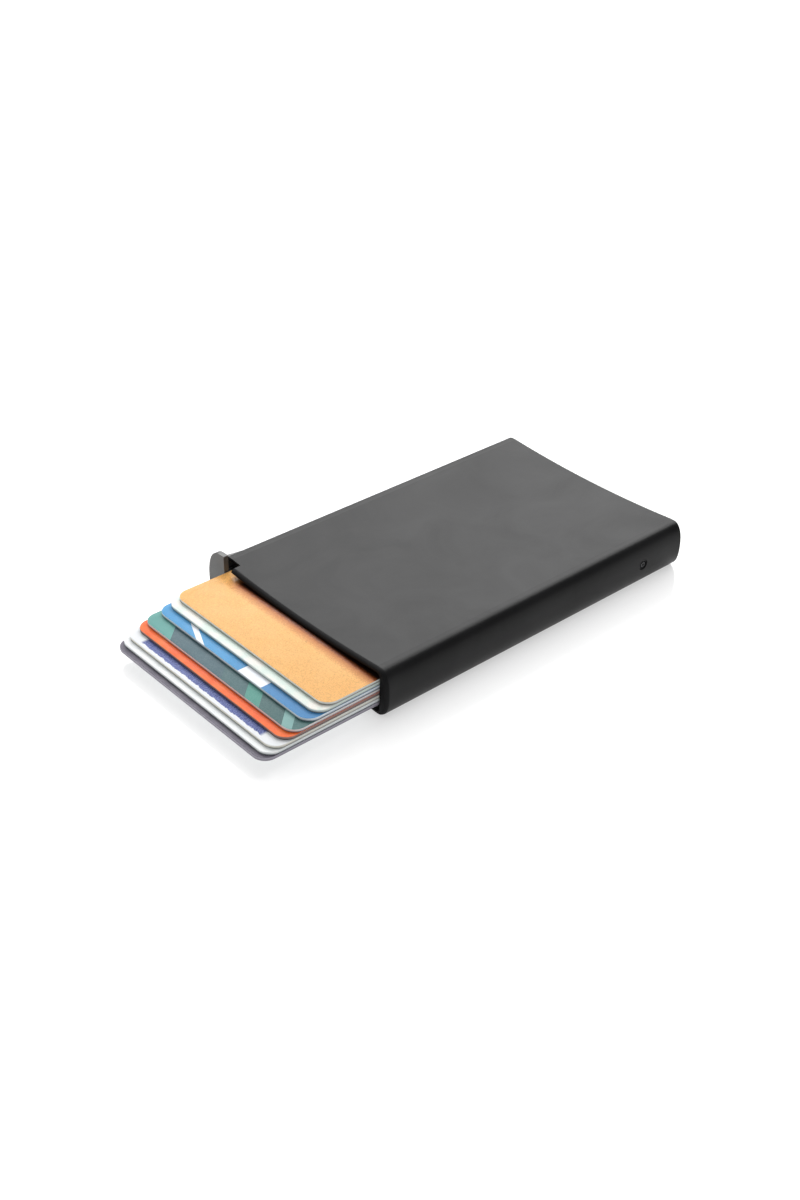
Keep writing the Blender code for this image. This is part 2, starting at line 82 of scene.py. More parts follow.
# Rivets: the head's face is given as shares of its radius and depths below its top
RIVET_HOLE = 0.00135
RIVET_FACE = ((0, 0.00030), (0.16, 0.00028), (0.22, 0.00004), (0.28, 0), (0.56, 0),
              (0.62, 0.00006), (0.64, 0.00035), (0.84, 0.00035))
RIVET_LIP = 0.00004
RIVET_EASE = 0.12
RIVET_SHANK = 0.64

# Push tab
TAB_THICKNESS = 0.0013
TAB_PROUD = 0.0019
TAB_FOOT_LIFT = 0.0003
RAMP_RISE = 0.0046
RAMP_DROP = 0.0042
TAB_ROUND = 0.0003
GAP = 0.0003
PIN_GAP = 0.0001

# Cards
CARD_CORNER = 0.00318
CARD_ARRIS = 0.00006
CARD_HALF_LENGTH = 0.0428
# Heights on a card's edge of its painted highlight band (top) and its painted shadow band (bottom)
PAINTED_HIGHLIGHT_BAND = (0.00012, 0.00018)
PAINTED_SHADOW_BAND = (-0.00016, -0.00010)
# Painted shadow on the top card by the sleeve's mouth: where its brown and black fade in, back from
# the leading edge, and where it fades out beside the notch
PAINTED_SHADOW_BROWN_FADE = (0.0114, 0.0142)
PAINTED_SHADOW_BLACK_FADE = (0.0136, 0.0150)
NOTCH_FADE = (-0.0245, -0.0205)

# Felt strips
PAD_SQUARE_ENDS = 1.6
PAD_END_WIDEN = 1.28
PAD_MATTING = 0.02

# Facets
RIM_STEPS = 7
DISH_STEPS = 44
SIDE_STEPS = 22
CORNER_STEPS = 14
TURN_STEPS = 48
PAD_STEPS = 96
SHARP_ANGLE = radians(34)
MERGE = 1e-6
WELD_MERGE = 2e-6
BORE_MARGIN = 1e-5

sleeve_low, sleeve_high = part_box("case_shell")
tab_low, tab_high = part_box("thumb_tab")
rail_low, rail_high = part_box("slider_rail")
top_card_low, top_card_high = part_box("card_1")
ORIGIN = Vector(((sleeve_low.x + sleeve_high.x) / 2, sleeve_low.y,
                 (sleeve_low.z + sleeve_high.z) / 2))
HALF_WIDTH = (sleeve_high.x - sleeve_low.x) / 2
HALF_HEIGHT = (sleeve_high.z - sleeve_low.z) / 2
SLEEVE_LENGTH = sleeve_high.y - sleeve_low.y
DISH_HALF_WIDTH = HALF_WIDTH - SIDE_ROUND - LAND_WIDTH
BORE_HALF_WIDTH = HALF_WIDTH - SIDE_WALL
BORE_HALF_HEIGHT = HALF_HEIGHT - FACE_WALL
CARD_LEFT = top_card_low.x - ORIGIN.x
TAB_FRONT = tab_low.y - ORIGIN.y
RAMP_END = tab_high.y - ORIGIN.y
RAIL_LEFT = rail_low.x - ORIGIN.x


# ---------------------------------------------------------------- mesh helpers

def link(name, mesh, at=ORIGIN):
    """A new object that holds a mesh."""
    obj = bpy.data.objects.new(name, mesh)
    obj.location = at
    bpy.context.scene.collection.objects.link(obj)
    return obj


def bake(obj):
    """Turn an object's modifiers into mesh."""
    bpy.context.view_layer.update()
    graph = bpy.context.evaluated_depsgraph_get()
    mesh = bpy.data.meshes.new_from_object(obj.evaluated_get(graph))
    obj.modifiers.clear()
    obj.data = mesh


def combine(obj, others, operation="DIFFERENCE"):
    """Cut or join solids, then discard the tools."""
    for other in others:
        step = obj.modifiers.new("combine", "BOOLEAN")
        step.operation = operation
        step.solver = "EXACT"
        step.object = other
    bake(obj)
    for other in others:
        bpy.data.objects.remove(other, do_unlink=True)


def soften(obj, width, segments=2):
    """Round an object's sharp edges and shade its curves smooth."""
    weld = obj.modifiers.new("weld", "WELD")
    weld.merge_threshold = WELD_MERGE
    bevel = obj.modifiers.new("round", "BEVEL")
    bevel.width = width
    bevel.segments = segments
    bevel.limit_method = "ANGLE"
    bevel.angle_limit = SHARP_ANGLE
    bevel.miter_outer = "MITER_ARC"
    bevel.harden_normals = True


def smooth(obj, angle=SHARP_ANGLE):
    """Shade curves smooth and keep real edges sharp."""
    obj.data.shade_smooth()
    obj.data.set_sharp_from_angle(angle=angle)


def extruded(name, loops, near, far):
    """An outline in X and Z, or an outline with holes, drawn out along Y."""
    curve = bpy.data.curves.new(name, "CURVE")
    curve.dimensions = "2D"
    curve.fill_mode = "BOTH"
    curve.extrude = (far - near) / 2
    for loop in loops:
        spline = curve.splines.new("POLY")
        spline.points.add(len(loop) - 1)
        for point, (x, z) in zip(spline.points, loop):
            point.co = (x, z, 0, 1)
        spline.use_cyclic_u = True
    outline = bpy.data.objects.new(name, curve)
    bpy.context.scene.collection.objects.link(outline)
    bpy.context.view_layer.update()
    graph = bpy.context.evaluated_depsgraph_get()
    mesh = bpy.data.meshes.new_from_object(outline.evaluated_get(graph))
    bpy.data.objects.remove(outline, do_unlink=True)
    mesh.transform(Matrix.Translation((0, (near + far) / 2, 0)) @ Matrix.Rotation(pi / 2, 4, "X"))
    work = bmesh.new()
    work.from_mesh(mesh)
    bmesh.ops.remove_doubles(work, verts=work.verts, dist=MERGE)
    bmesh.ops.recalc_face_normals(work, faces=work.faces)
    work.to_mesh(mesh)
    work.free()
    return link(name, mesh)


def lofted(name, rings, at=ORIGIN, slots=()):
    """A closed solid through rings of equal point counts; slots number each band's finish."""
    work = bmesh.new()
    rows = [[work.verts.new(point) for point in ring] for ring in rings]
    ends = [work.faces.new(list(reversed(rows[0]))), work.faces.new(rows[-1])]
    if slots:
        ends[0].material_index, ends[1].material_index = slots[0], slots[-1]
    for band, (near, far) in enumerate(zip(rows, rows[1:])):
        for i in range(len(near)):
            j = (i + 1) % len(near)
            face = work.faces.new((near[i], near[j], far[j], far[i]))
            face.material_index = slots[band] if slots else 0
    bmesh.ops.recalc_face_normals(work, faces=work.faces)
    mesh = bpy.data.meshes.new(name)
    work.to_mesh(mesh)
    work.free()
    return link(name, mesh, at)


def block(low, high):
    """A box-shaped cutting tool."""
    (x0, y0, z0), (x1, y1, z1) = low, high
    rings = [[(x0, y, z0), (x1, y, z0), (x1, y, z1), (x0, y, z1)] for y in (y0, y1)]
    return lofted("tool", rings)


def turned(name, profile, side, centre):
    """A solid of revolution about the X axis from (radius, outward distance) pairs."""
    work = bmesh.new()
    rows = []
    for radius, out in profile:
        if radius == 0:
            rows.append([work.verts.new((side * out, centre[0], centre[1]))])
            continue
        rows.append([work.verts.new((side * out,
                                     centre[0] + radius * cos(2 * pi * i / TURN_STEPS),
                                     centre[1] + radius * sin(2 * pi * i / TURN_STEPS)))
                     for i in range(TURN_STEPS)])
    for near, far in zip(rows, rows[1:]):
        for i in range(TURN_STEPS):
            j = (i + 1) % TURN_STEPS
            ring = [near[i % len(near)], near[j % len(near)], far[j % len(far)], far[i % len(far)]]
            work.faces.new(list(dict.fromkeys(ring)))
    bmesh.ops.recalc_face_normals(work, faces=work.faces)
    mesh = bpy.data.meshes.new(name)
    work.to_mesh(mesh)
    work.free()
    return link(name, mesh)


def finish_with(obj, *finishes):
    """Put finishes in an object's material slots, in order."""
    held = obj.data.materials
    for number, made in enumerate(finishes):
        if number < len(held):
            held[number] = made.material
        else:
            held.append(made.material)


# ---------------------------------------------------------------- finishes

class Finish:
    """A Principled material whose detail is worked out from the piece's own coordinates."""

    def __init__(self, name, roughness=0.5, metallic=0.0, specular=0.5, **constants):
        self.material = bpy.data.materials.new(name)
        self.material.use_nodes = True
        self.tree = self.material.node_tree
        self.shader = self.tree.nodes["Principled BSDF"]
        self.place = self.node("ShaderNodeTexCoord").outputs["Object"]
        self.feed(self.shader.inputs["Roughness"], roughness)
        self.feed(self.shader.inputs["Metallic"], metallic)
        self.feed(self.shader.inputs["Specular IOR Level"], specular)
        for socket, value in constants.items():
            self.feed(self.shader.inputs[socket.replace("_", " ").title()], value)

    def feed(self, socket, value):
        """Link a socket to another, or give it a constant."""
        if isinstance(value, bpy.types.NodeSocket):
            self.tree.links.new(value, socket)
        elif hasattr(value, "__len__") and len(value) == 3 and socket.type == "RGBA":
            socket.default_value = (*value, 1)
        else:
            socket.default_value = value

    def node(self, kind, inputs=None, **settings):
        """A new node with its inputs fed and its settings made."""
        made = self.tree.nodes.new(kind)
        for key, value in settings.items():
            setattr(made, key, value)
        for key, value in (inputs or {}).items():
            self.feed(made.inputs[key], value)
        return made

    def set(self, socket, value):
        """Feed one of the shader's own sockets."""
        self.feed(self.shader.inputs[socket], value)

    def math(self, operation, a, b=0.0, clamp=False):
        made = self.node("ShaderNodeMath", {0: a, 1: b}, operation=operation, use_clamp=clamp)
        return made.outputs[0]

    def axis(self, name):
        """One of the piece's own coordinates."""
        split = self.node("ShaderNodeSeparateXYZ", {0: self.place})
        return split.outputs[name]

    def stretched(self, x=1.0, y=1.0, z=1.0):
        """The piece's coordinates, scaled so that a pattern is drawn out along an axis."""
        return self.node("ShaderNodeMapping", {"Vector": self.place, "Scale": (x, y, z)}).outputs[0]

    def noise(self, per_metre, detail=3.0, roughness=0.55, where=None, distortion=0.0):
        """Cloudy variation from 0 to 1."""
        made = self.node("ShaderNodeTexNoise", {
            "Vector": where or self.place, "Scale": per_metre, "Detail": detail,
            "Roughness": roughness, "Distortion": distortion})
        return made.outputs["Fac"]

    def span(self, value, low, high, to_low=0.0, to_high=1.0):
        """Stretch a range of values to another, held at its ends."""
        made = self.node("ShaderNodeMapRange", {
            "Value": value, "From Min": low, "From Max": high, "To Min": to_low,
            "To Max": to_high})
        return made.outputs[0]

    def blend(self, share, a, b):
        """Mix two colours."""
        made = self.node("ShaderNodeMix", data_type="RGBA")
        for socket, value in zip([s for s in made.inputs if s.enabled], (share, a, b)):
            self.feed(socket, value)
        return next(s for s in made.outputs if s.enabled)

    def steps(self, value, stops):
        """Colours that change at set places along a value from 0 to 1."""
        made = self.node("ShaderNodeValToRGB", {"Fac": value})
        ramp = made.color_ramp
        ramp.interpolation = "CONSTANT"
        for at, colour in stops[2:]:
            ramp.elements.new(at)
        for element, (at, colour) in zip(ramp.elements, stops):
            element.position = at
            element.color = (*colour, 1)
        return made.outputs["Color"]

    def relief(self, height, depth, strength=1.0, over=None):
        """Bump the surface by a height from 0 to 1 times a depth in metres."""
        inputs = {"Height": height, "Distance": depth, "Strength": strength}
        if over is not None:
            inputs["Normal"] = over
        bump = self.node("ShaderNodeBump", inputs).outputs["Normal"]
        self.set("Normal", bump)
        return bump


def anodised(name, dark, light, roughness, specular, grain=0.000004):
    """Blasted and anodised aluminium: fine grain, faint draw lines, cloudy dye."""
    made = Finish(name, specular=specular)
    cloud = made.noise(62, detail=5, roughness=0.62, distortion=0.8)
    speck = made.noise(5200, detail=2)
    lines = made.noise(1500, detail=2, where=made.stretched(y=0.03))
    share = made.math("ADD", made.span(cloud, 0.3, 0.7, 0.0, 0.7),
                      made.span(speck, 0.3, 0.7, 0.0, 0.3))
    made.set("Base Color", made.blend(share, dark, light))
    rough = made.math("ADD", made.span(cloud, 0.25, 0.75, roughness + 0.03, roughness - 0.03),
                      made.span(lines, 0.3, 0.7, -0.005, 0.005))
    made.set("Roughness", rough)
    bump = made.relief(speck, grain)
    made.relief(lines, grain / 12, over=bump)
    return made


def raw_cut(name):
    """The sleeve's sawn and dyed end faces: dark, dull, with fine saw lines."""
    made = Finish(name, specular=0.12)
    lines = made.noise(2600, detail=2, where=made.stretched(z=0.15))
    made.set("Base Color", made.blend(lines, (0.003, 0.003, 0.003), (0.010, 0.010, 0.011)))
    made.set("Roughness", made.span(lines, 0.2, 0.8, 0.55, 0.7))
    made.relief(lines, 0.000006)
    return made


def moulded(name, dark, light, roughness=0.5):
    """Moulded plastic: spark-eroded grain and slow flow marks."""
    made = Finish(name, specular=0.4)
    grain = made.noise(3800, detail=3, roughness=0.6)
    flow = made.noise(90, detail=2, distortion=1.2)
    made.set("Base Color", made.blend(made.math("MULTIPLY", grain, flow), dark, light))
    made.set("Roughness", made.span(flow, 0.3, 0.7, roughness - 0.05, roughness + 0.06))
    made.relief(grain, 0.000014)
    return made


def steel(name, tint, roughness, along):
    """Drawn steel: long fine scratches and slight discolouration."""
    made = Finish(name, metallic=1.0)
    scratch = made.noise(6000, detail=2, where=made.stretched(**along))
    stain = made.noise(260, detail=3)
    darker = tuple(0.6 * part for part in tint)
    made.set("Base Color", made.blend(made.span(stain, 0.35, 0.75), tint, darker))
    made.set("Roughness", made.math("ADD", made.span(scratch, 0.2, 0.8, -0.08, 0.08), roughness))
    made.relief(scratch, 0.000003)
    return made


def felt(name, dark, light):
    """Pressed felt: matted fibres and a faint sheen."""
    made = Finish(name, specular=0.1, sheen_weight=0.35, sheen_roughness=0.6)
    fibre = made.noise(9000, detail=4, roughness=0.75, distortion=3.0)
    clump = made.noise(1500, detail=3)
    made.set("Base Color", made.blend(made.math("MULTIPLY", fibre, clump), dark, light))
    made.set("Roughness", made.span(clump, 0.3, 0.7, 0.88, 0.98))
    made.relief(fibre, 0.00006)
    return made


def card_print(name, roughness=0.34):
    """The start of a card's printed face: laminate with print grain and fine handling marks."""
    made = Finish(name, specular=0.22)
    made.grain = made.noise(3600, detail=4, roughness=0.8)
    made.cloud = made.noise(190, detail=3)
    marks = made.noise(700, detail=2, where=made.stretched(x=1.0, y=0.12), distortion=0.4)
    rough = made.math("ADD", made.span(marks, 0.35, 0.7, -0.05, 0.07), roughness)
    made.set("Roughness", rough)
    made.relief(made.grain, 0.000004)
    return made


def speckled(made, colour, low=0.88, high=1.1):
    """A colour broken up by the card's print grain."""
    share = made.span(made.grain, 0.3, 0.7)
    dim = tuple(part * low for part in colour)
    bright = tuple(min(part * high, 1) for part in colour)
    return made.blend(share, dim, bright)


def card_core(name, colour, painted_shadow_colour):
    """A card's edge: pale core, a painted highlight along its top and a painted shadow along its
    bottom, with shear marks.
    """
    made = Finish(name, roughness=0.5, specular=0.3)
    shear = made.noise(2400, detail=2, where=made.stretched(z=0.2))
    body = made.blend(shear, tuple(0.86 * part for part in colour), colour)
    # Painted highlight: a brighter copy of the core along the edge's top; painted shadow: a dark
    # colour along its bottom
    bright = tuple(min(1.0, 1.22 * part) for part in colour)
    upper = made.span(made.axis("Z"), *PAINTED_HIGHLIGHT_BAND)
    lower = made.span(made.axis("Z"), *PAINTED_SHADOW_BAND, 1.0, 0.0)
    made.set("Base Color", made.blend(lower, made.blend(upper, body, bright), painted_shadow_colour))
    made.relief(shear, 0.000006)
    return made


# ---------------------------------------------------------------- sleeve

def face_height(x, half_height):
    """Height of a dished face above the middle plane."""
    if abs(x) >= DISH_HALF_WIDTH:
        return half_height
    return half_height - DISH_DEPTH * (1 - (x / DISH_HALF_WIDTH) ** 2)


def quarter(half_width, half_height, round_x, round_z, power):
    """From a face's end round to the side."""
    points = []
    for step in range(1, SIDE_STEPS + 1):
        angle = pi / 2 * step / SIDE_STEPS
        points.append((half_width - round_x + round_x * sin(angle) ** power,
                       half_height - round_z + round_z * max(cos(angle), 0) ** power))
    return points


def section(half_width, half_height, round_x, round_z, power=1.0):
    """Closed outline with two dished faces and rounded sides."""
    reach = half_width - round_x
    stops = [DISH_HALF_WIDTH * (2 * i / DISH_STEPS - 1) for i in range(DISH_STEPS + 1)]
    upper = [(-reach, half_height)]
    upper += [(x, face_height(x, half_height)) for x in stops]
    upper.append((reach, half_height))
    corner = quarter(half_width, half_height, round_x, round_z, power)
    upper += corner
    upper += [(x, -z) for x, z in reversed(corner) if z > MERGE]
    return upper + [(-x, -z) for x, z in upper]


def outer_ring(y, inset):
    """The sleeve's outside at a distance from the mouth, drawn in evenly by inset."""
    half_height = HALF_HEIGHT - inset
    return [(x, y, z) for x, z in section(HALF_WIDTH - inset, half_height,
                                          SIDE_ROUND - inset, half_height, SIDE_FULLNESS)]


def make_sleeve():
    """The sleeve, round-rimmed at the mouth, notched and slotted at the mouth's left end."""
    turns = [pi / 2 * step / RIM_STEPS for step in range(RIM_STEPS + 1)]
    rings = [outer_ring(RIM_LENGTH * (1 - cos(turn)), RIM_DROP * (1 - sin(turn)))
             for turn in turns]
    sleeve = lofted("sleeve", rings + [outer_ring(SLEEVE_LENGTH, 0)])
    bore = section(BORE_HALF_WIDTH, BORE_HALF_HEIGHT, BORE_CORNER, BORE_CORNER)
    slot_end = RAMP_END + NOTCH_DEPTH - TAB_FRONT - TAB_THICKNESS
    tools = [extruded("tool", [bore], -CUT_OVER, SLEEVE_LENGTH + CUT_OVER),
             block((-HALF_WIDTH - CUT_OVER, -CUT_OVER, -HALF_HEIGHT - CUT_OVER),
                   (NOTCH_REACH - HALF_WIDTH, NOTCH_DEPTH, HALF_HEIGHT + CUT_OVER)),
             block((-HALF_WIDTH - CUT_OVER, 0, -RAMP_DROP - GAP),
                   (RAIL_LEFT, slot_end, RAMP_RISE + GAP))]
    for name in ("rivet_right", "rivet_left"):
        low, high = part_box(name)
        side = 1 if low.x > ORIGIN.x else -1
        tools.append(turned("tool", [(0, BORE_HALF_WIDTH - CUT_OVER),
                                     (RIVET_HOLE, BORE_HALF_WIDTH - CUT_OVER),
                                     (RIVET_HOLE, HALF_WIDTH + CUT_OVER),
                                     (0, HALF_WIDTH + CUT_OVER)], side,
                            ((low.y + high.y) / 2 - ORIGIN.y, 0)))
    combine(sleeve, tools)
    soften(sleeve, RIM_EASE)
    bake(sleeve)
    finish_with(sleeve, anodised("black_anodised_satin", (0.0030, 0.0030, 0.0032),
                                 (0.0105, 0.0105, 0.0110), 0.36, 0.155),
                raw_cut("black_sawn"))
    for face in sleeve.data.polygons:
        x, y, z = face.center
        end = y < RIM_DYED or y > SLEEVE_LENGTH - RIM_EASE
        inside = (abs(x) < BORE_HALF_WIDTH + BORE_MARGIN
                  and abs(z) < face_height(x, BORE_HALF_HEIGHT) + BORE_MARGIN)
        face.material_index = 1 if end or inside else 0
    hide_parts("case_shell")
    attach(sleeve, "case")


def make_rivets():
    """Flush rivets: an eased head with a ring groove and a small pit at its centre."""
    finish = steel("blackened_steel", (0.055, 0.055, 0.058), 0.38, {"x": 1.0})
    for name in ("rivet_right", "rivet_left"):
        low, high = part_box(name)
        side = 1 if low.x > ORIGIN.x else -1
        radius = (high.y - low.y) / 2
        top = max(abs(low.x - ORIGIN.x), abs(high.x - ORIGIN.x))
        bottom = min(abs(low.x - ORIGIN.x), abs(high.x - ORIGIN.x))
        shank = RIVET_SHANK * radius
        ease = RIVET_EASE * radius
        profile = [(share * radius, top - depth) for share, depth in RIVET_FACE]
        profile += [(radius - ease, top - RIVET_LIP), (radius - 0.3 * ease, top - 0.3 * ease),
                    (radius, top - ease), (radius, BORE_HALF_WIDTH + PIN_GAP),
                    (shank, BORE_HALF_WIDTH + PIN_GAP), (shank, bottom), (0, bottom)]
        rivet = turned(name.replace("rivet", "rivet_head"), profile, side,
                       ((low.y + high.y) / 2 - ORIGIN.y, 0))
        smooth(rivet)
        finish_with(rivet, finish)
        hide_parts(name)
        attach(rivet, "case")


# ---------------------------------------------------------------- push tab

def tab_outline():
    """The sleeve's left end, proud of it all round except at the foot."""
    reach = HALF_WIDTH - SIDE_ROUND
    round_x = SIDE_ROUND + TAB_PROUD
    wide = HALF_WIDTH + TAB_PROUD
    top = HALF_HEIGHT + TAB_PROUD
    foot = HALF_HEIGHT - TAB_FOOT_LIFT
    inner = CARD_LEFT - GAP
    upper = quarter(wide, top, round_x, top, SIDE_FULLNESS)
    lower = quarter(wide, foot, round_x, foot, SIDE_FULLNESS)
    left = [(-x, z) for x, z in upper] + [(-x, -z) for x, z in reversed(lower[:-1])]
    return [(inner, top), (-reach, top)] + left + [(-reach, -foot), (inner, -foot)]


def ramp_ring(y, proud):
    """Section of the thumb ramp: outside it follows the sleeve's side, inside it is flat."""
    inner = -BORE_HALF_WIDTH
    ring = [(inner, y, -RAMP_DROP)]
    for step in range(SIDE_STEPS + 1):
        z = -RAMP_DROP + (RAMP_RISE + RAMP_DROP) * step / SIDE_STEPS
        share = (1 - (abs(z) / HALF_HEIGHT) ** (2 / SIDE_FULLNESS)) ** (SIDE_FULLNESS / 2)
        ring.append((-(HALF_WIDTH - SIDE_ROUND + SIDE_ROUND * share + proud), y, z))
    ring.append((inner, y, RAMP_RISE))
    return ring


def make_tab():
    """The push tab: a D-shaped plate with a ramp that sinks into the sleeve's side."""
    back = TAB_FRONT + TAB_THICKNESS
    tab = extruded("push_tab", [tab_outline()], TAB_FRONT, back)
    ramp = lofted("tool", [ramp_ring((TAB_FRONT + back) / 2, TAB_PROUD - PIN_GAP),
                           ramp_ring(back, TAB_PROUD - PIN_GAP),
                           ramp_ring(RAMP_END, 0.0)])
    combine(tab, [ramp], "UNION")
    low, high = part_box("tab_pin")
    hole = turned("tool", [(0, -RAIL_LEFT - CUT_OVER), ((high.y - low.y) / 2 + PIN_GAP,
                                                         -RAIL_LEFT - CUT_OVER),
                           ((high.y - low.y) / 2 + PIN_GAP, ORIGIN.x - low.x + GAP),
                           (0, ORIGIN.x - low.x + GAP)], -1,
                  ((low.y + high.y) / 2 - ORIGIN.y, 0))
    combine(tab, [hole])
    soften(tab, TAB_ROUND, segments=3)
    bake(tab)
    finish_with(tab, anodised("grey_anodised_satin", (0.085, 0.085, 0.084),
                              (0.125, 0.125, 0.122), 0.40, 0.45))
    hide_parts("thumb_tab")
    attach(tab, "tab")


# ---------------------------------------------------------------- cards

def card_ring(half_width, half_length, inset, z):
    """Rounded rectangle, drawn in by inset."""
    points = []
    for corner in range(4):
        cx = (1 if corner in (0, 3) else -1) * (half_width - CARD_CORNER)
        cy = (1 if corner in (0, 1) else -1) * (half_length - CARD_CORNER)
        for step in range(CORNER_STEPS + 1):
            angle = pi / 2 * (corner + step / CORNER_STEPS)
            points.append((cx + (CARD_CORNER - inset) * cos(angle),
                           cy + (CARD_CORNER - inset) * sin(angle), z))
    return points


def make_card(number, face, core, back):
    """A laminated card: printed face, core edge and plain back, with its arrises eased."""
    node = f"card_{number}"
    low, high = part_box(node)
    half_width, half_length = (high.x - low.x) / 2, (high.y - low.y) / 2
    half = (high.z - low.z) / 2
    ease = CARD_ARRIS
    # Each level: how far it is drawn in, its height, and the finish of the band above it
    levels = [(ease, -half, 2), (0.3 * ease, -half + 0.3 * ease, 2), (0, -half + ease, 1),
              (0, half - ease, 1), (0.3 * ease, half - 0.3 * ease, 0), (ease, half, 0)]
    rings = [card_ring(half_width, half_length, inset, z) for inset, z, _ in levels]
    card = lofted(f"bank_card_{number}", rings, (low + high) / 2,
                  [slot_number for _, _, slot_number in levels])
    smooth(card, radians(50))
    finish_with(card, face, core, back)
    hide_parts(node)
    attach(card, node + "_body")


def front(made):
    """Distance back from a card's leading edge."""
    return made.math("ADD", made.axis("Y"), CARD_HALF_LENGTH)


def between(made, value, low, high, soft=0.00005):
    """One inside a range and nothing outside it."""
    rise = made.span(value, low - soft, low + soft)
    fall = made.span(value, high - soft, high + soft, 1.0, 0.0)
    return made.math("MULTIPLY", rise, fall)


def apricot_print():
    """Grainy apricot with a painted shadow, brown to black, in a ragged strip where the mouth
    shades it.
    """
    made = card_print("print_apricot")
    base = speckled(made, (0.82, 0.425, 0.125), 0.62, 1.22)
    pale = made.blend(made.span(made.cloud, 0.3, 0.8, 0.0, 0.22), base, (0.90, 0.55, 0.23))
    # Painted shadow: brown, then black, a ragged distance back from the leading edge, faded out
    # beside the notch
    ragged = made.math("MULTIPLY", made.noise(1900, detail=3, roughness=0.7), 0.0012)
    depth = made.math("ADD", front(made), ragged)
    beside_notch = made.span(made.axis("X"), *NOTCH_FADE)
    shadow_brown_share = made.math("MULTIPLY", made.span(depth, *PAINTED_SHADOW_BROWN_FADE), beside_notch)
    shadow_black_share = made.math("MULTIPLY", made.span(depth, *PAINTED_SHADOW_BLACK_FADE), beside_notch)
    warm = made.blend(shadow_brown_share, pale, (0.42, 0.10, 0.012))
    made.set("Base Color", made.blend(shadow_black_share, warm, (0.012, 0.004, 0.003)))
    return made


def pale_print():
    """Clouds of pale green and warm white."""
    made = card_print("print_pale")
    green = speckled(made, (0.66, 0.76, 0.70), 0.94, 1.05)
    warm = speckled(made, (0.82, 0.80, 0.74), 0.94, 1.05)
    made.set("Base Color", made.blend(made.span(made.cloud, 0.42, 0.58), green, warm))
    return made


def blue_print():
    """Two blues crossed by a narrow slanted bar and a broad straight one."""
    made = card_print("print_blue")
    x = made.axis("X")
    near = speckled(made, (0.070, 0.30, 0.57))
    far = speckled(made, (0.065, 0.23, 0.47))
    base = made.blend(made.span(x, -0.002, 0.010), near, far)
    lean = made.math("ADD", x, made.math("MULTIPLY", front(made), 2.2))
    bar = between(made, lean, -0.0115, -0.0085)
    broad = between(made, x, 0.0035, 0.0115)
    white = made.math("MAXIMUM", bar, broad)
    made.set("Base Color", made.blend(white, base, (0.84, 0.87, 0.92)))
    return made


def teal_print():
    """Blocks of teal and grey-green across the card."""
    made = card_print("print_teal")
    lean = made.math("ADD", made.axis("X"), made.math("MULTIPLY", front(made), 0.9))
    share = made.span(lean, -0.027, 0.027)
    blocks = made.steps(share, [
        (0.0, (0.085, 0.30, 0.27)), (0.20, (0.032, 0.085, 0.11)), (0.55, (0.035, 0.10, 0.11)),
        (0.70, (0.05, 0.25, 0.20)), (0.79, (0.032, 0.10, 0.10)), (0.93, (0.18, 0.36, 0.34)),
        (0.99, (0.04, 0.13, 0.125))])
    grain = made.span(made.grain, 0.3, 0.7, 0.0, 0.16)
    made.set("Base Color", made.blend(grain, blocks, (0.40, 0.50, 0.50)))
    return made


def coral_print():
    """Two close corals in soft clouds."""
    made = card_print("print_coral")
    base = speckled(made, (0.87, 0.125, 0.024), 0.82, 1.1)
    made.set("Base Color", made.blend(made.span(made.cloud, 0.4, 0.7, 0.0, 0.5), base,
                                      (0.92, 0.25, 0.06)))
    return made


def violet_print():
    """White, with a ragged band of violet strokes along its leading edge."""
    made = card_print("print_violet")
    x, y = made.axis("X"), front(made)
    ragged = made.math("MULTIPLY", made.noise(620, detail=5, roughness=0.8), 0.0016)
    upper = made.span(made.math("SUBTRACT", y, ragged), 0.00010, 0.00020)
    band = made.math("MULTIPLY", upper, between(made, x, -0.0215, 0.0215, 0.0004))
    strokes = made.node("ShaderNodeTexWave", {
        "Vector": made.place, "Scale": 640.0, "Distortion": 11.0, "Detail": 3.0,
        "Detail Scale": 1.8}).outputs["Fac"]
    ink = made.blend(strokes, (0.035, 0.05, 0.20), (0.15, 0.19, 0.44))
    made.set("Base Color", made.blend(band, (0.74, 0.76, 0.78), ink))
    return made


def plain_print(name, colour, other):
    """One colour that drifts a little towards another."""
    made = card_print(name)
    base = speckled(made, colour, 0.95, 1.04)
    made.set("Base Color", made.blend(made.span(made.cloud, 0.4, 0.65), base, other))
    return made


def make_cards():
    """Card 1 lies on top and stands out least, card 8 is lowest and stands out most."""
    white = (0.80, 0.83, 0.84)
    # Each card: its print, its edge's core colour, and the dark colour of the painted shadow along
    # the bottom of its edge
    cards = [
        ("card_orange", apricot_print(), (0.70, 0.72, 0.68), (0.20, 0.19, 0.17)),
        ("card_pale", pale_print(), (0.66, 0.74, 0.70), (0.20, 0.23, 0.21)),
        ("card_blue", blue_print(), (0.74, 0.80, 0.88), (0.17, 0.21, 0.26)),
        ("card_teal", teal_print(), (0.72, 0.66, 0.66), (0.20, 0.16, 0.16)),
        ("card_coral", coral_print(), (0.30, 0.20, 0.175), (0.09, 0.05, 0.04)),
        ("card_violet", violet_print(), (0.76, 0.75, 0.68), (0.24, 0.23, 0.20)),
        ("card_white", plain_print("print_white", white, (0.86, 0.88, 0.88)),
         (0.80, 0.86, 0.86), (0.12, 0.13, 0.15)),
        ("card_lilac", plain_print("print_lilac", (0.14, 0.13, 0.165), (0.18, 0.165, 0.205)),
         (0.36, 0.34, 0.40), (0.24, 0.22, 0.27)),
    ]
    back = plain_print("print_back", white, (0.74, 0.77, 0.78))
    for number, (slot, face, core, painted_shadow_colour) in enumerate(cards, 1):
        edge = card_core(f"core_{number}", core, painted_shadow_colour)
        make_card(number, face, edge, back)


# ---------------------------------------------------------------- pads and inner works

